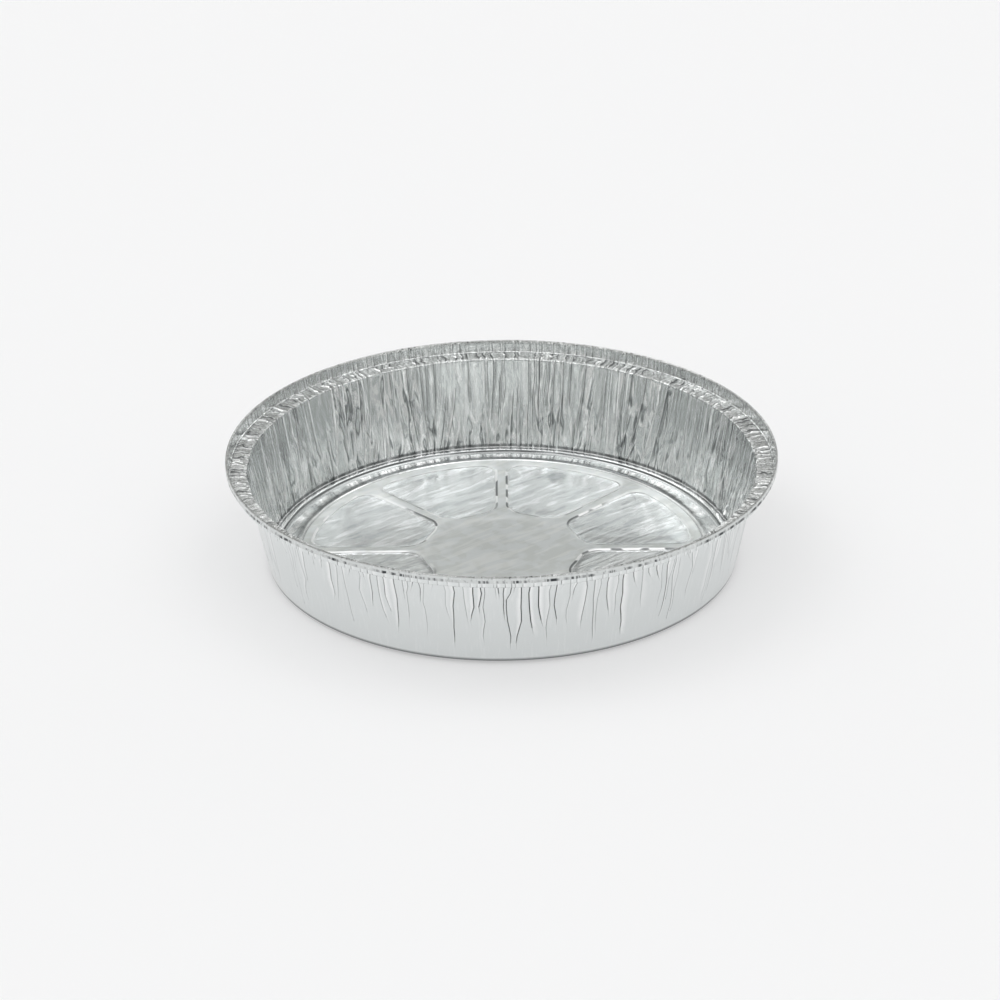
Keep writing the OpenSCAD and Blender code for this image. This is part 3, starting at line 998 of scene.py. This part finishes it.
# %% The room's levels, from the horizon to straight above
world = bpy.data.worlds.new("studio")
bpy.context.scene.world = world
world.use_nodes = True
nodes, links = world.node_tree.nodes, world.node_tree.links
background = nodes["Background"]
coord = nodes.new("ShaderNodeTexCoord")
split = nodes.new("ShaderNodeSeparateXYZ")
links.new(coord.outputs["Generated"], split.inputs["Vector"])
rise = nodes.new("ShaderNodeValToRGB")
# Sine of the elevation, and the level there
levels = [(0.0, 0.52), (0.2, 0.68), (0.4, 0.47), (0.5, 0.43),
          (0.64, 0.72), (0.78, 1.04), (0.9, 1.36), (1.0, 0.7)]
warmth, warm_at, warm_width = 0.03, 0.42, 0.2
while len(rise.color_ramp.elements) < len(levels):
    rise.color_ramp.elements.new(0.5)
for element, (up, level) in zip(rise.color_ramp.elements, levels):
    element.position = up
    warm = warmth * math.exp(-((up - warm_at) / warm_width) ** 2)
    element.color = (level * (1 - 0.3 * warm), level, level * (1 - warm), 1.0)
links.new(split.outputs["Z"], rise.inputs["Fac"])
total = rise.outputs["Color"]
print("levels:", len(levels))

# %% The room's cards
# Azimuth (0 is the right, 90 is the back), elevation, outer and inner half angle, level
cards = [
    (8, 44, 26, 12, 0.2),
    (162, 48, 28, 12, 1.0),
    (48, 15, 17, 6, 1.05),
    (130, 17, 17, 6, 1.05),
    (90, 12, 13, 6, 0.8),
    (-55, 30, 20, 8, 0.9),
    (-125, 32, 20, 8, 0.9),
    (-90, 50, 30, 12, 0.12),
]
for azimuth, elevation_deg, outer, inner, level in cards:
    az, el = math.radians(azimuth), math.radians(elevation_deg)
    card = nodes.new("ShaderNodeGroup")
    card.node_tree = card_group
    links.new(coord.outputs["Generated"], card.inputs["Direction"])
    toward = (math.cos(az) * math.cos(el), math.sin(az) * math.cos(el), math.sin(el))
    card.inputs["Toward"].default_value = toward
    card.inputs["Outer"].default_value = math.cos(math.radians(outer))
    card.inputs["Inner"].default_value = math.cos(math.radians(inner))
    card.inputs["Level"].default_value = level
    add = nodes.new("ShaderNodeMixRGB")
    add.blend_type = "ADD"
    add.inputs["Fac"].default_value = 1.0
    links.new(total, add.inputs["Color1"])
    links.new(card.outputs["Light"], add.inputs["Color2"])
    total = add.outputs["Color"]
print("cards:", len(cards))

# %% Things in the room, which foil shows as patches of light and dark
clutter = nodes.new("ShaderNodeTexNoise")
clutter.inputs["Scale"].default_value = 7.0
clutter.inputs["Detail"].default_value = 2.0
links.new(coord.outputs["Generated"], clutter.inputs["Vector"])
patches = nodes.new("ShaderNodeMapRange")
patches.interpolation_type = "SMOOTHSTEP"
for name, value in (("From Min", 0.42), ("From Max", 0.58), ("To Min", 0.45), ("To Max", 1.45)):
    patches.inputs[name].default_value = value
links.new(clutter.outputs["Fac"], patches.inputs["Value"])
links.new(total, background.inputs["Color"])
links.new(patches.outputs["Result"], background.inputs["Strength"])
print("nodes in the room:", len(nodes))

# %% [markdown]
# The camera looks at the middle of the tin from the front, a little from above. A long lens from
# well over a metre away keeps the near and far side of the rim nearly the same size, as in a
# product photograph, and a small roll lets the tin sit as level as it does there.

# %% Camera
camera_data = bpy.data.cameras.new("camera")
camera_data.sensor_width = 36.0
camera_data.lens = 117.3
camera = bpy.data.objects.new("camera", camera_data)
bpy.context.scene.collection.objects.link(camera)
aim = Vector((-0.8 * MM, 0.0, pan_h / 2))
elevation, roll = math.radians(26.3), math.radians(0.6)
distance = 1.357
back = Vector((0.0, -math.cos(elevation), math.sin(elevation)))
facing = (-back).to_track_quat("-Z", "Y").to_matrix().to_4x4()
camera.matrix_world = Matrix.Translation(aim + back * distance) @ facing @ Matrix.Rotation(-roll, 4, "Z")
bpy.context.scene.camera = camera
print("camera in m:", [round(v, 3) for v in camera.matrix_world.translation])

# %% [markdown]
# The Standard view shows a colour as it is written.

# %% View settings
bpy.context.scene.view_settings.view_transform = "Standard"
